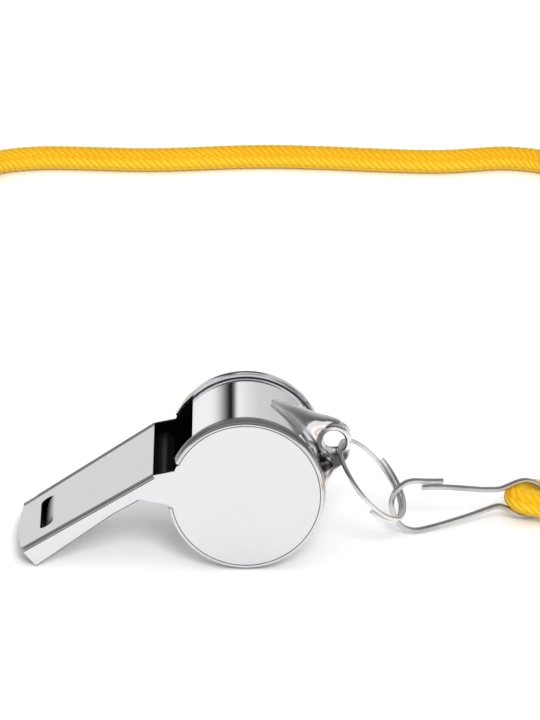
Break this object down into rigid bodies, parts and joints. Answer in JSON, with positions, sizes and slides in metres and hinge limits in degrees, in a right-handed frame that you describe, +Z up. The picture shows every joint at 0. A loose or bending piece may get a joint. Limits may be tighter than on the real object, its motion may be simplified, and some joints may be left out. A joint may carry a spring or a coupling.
{
  "type": "sports whistle",
  "caption": "Pressed-steel pea whistle with a sloping mouthpiece, a rolling cork ball, a pinched loop, a split ring, a sprung wire hook and a braided neck cord.",
  "frame": {"origin": "on the surface that the part lies on, under the middle of the whistle and its split ring", "axes": "+Z up, +X from the mouthpiece towards the split ring, +Y from the near side plate to the far one"},
  "size_m": [0.0969, 0.2837, 0.022],
  "materials": {
    "plate_steel": "polished stainless sheet, slightly satin on the flat discs",
    "strip_steel": "polished stainless sheet, drawn round the barrel",
    "loop_steel": "bright pressed sheet with deep reflections",
    "ring_wire": "bright nickel-plated spring wire",
    "hook_wire": "grey nickel-plated spring wire",
    "ramp_plastic": "black moulded insert",
    "cork": "pressed cork granules",
    "cord_braid": "yellow flat-herringbone braided polyester",
    "ferrule_metal": "nickel-plated crimped sleeve"
  },
  "bodies": {
    "lanyard": {"hook_frame": "hook_wire", "cord_run": "cord_braid", "cord_coil": "cord_braid", "cord_tail": "cord_braid", "cord_ferrule": "ferrule_metal"},
    "gate": {"hook_gate": "hook_wire"},
    "ring": {"split_ring": "ring_wire"},
    "whistle": {"side_plate_near": "plate_steel", "side_plate_far": "plate_steel", "barrel_shell": "strip_steel", "mouthpiece_top": "strip_steel", "wind_ramp": "ramp_plastic", "lanyard_loop": "loop_steel"},
    "pea": {"pea": "cork"}
  },
  "joints": [
    {"name": "gate_flex", "type": "hinge", "parent": "lanyard", "child": "gate", "pos_m": [0.03984, 0.00759, 0.00494], "axis": [0.342, -0.9397, 0], "range_deg": [0, 15], "stiffness_Nm_per_rad": 0.02},
    {"name": "ring_swing", "type": "hinge", "parent": "lanyard", "child": "ring", "pos_m": [0.02624, 0, 0.00457], "axis": [0, 1, 0], "range_deg": [0, 60]},
    {"name": "whistle_swing", "type": "hinge", "parent": "ring", "child": "whistle", "pos_m": [0.01765, 0, 0.01459], "axis": [0, 1, 0], "range_deg": [-2, 130]},
    {"name": "pea_roll", "type": "hinge", "parent": "whistle", "child": "pea", "pos_m": [0.00473, 0, 0.011], "axis": [0, 1, 0], "continuous": true}
  ]
}
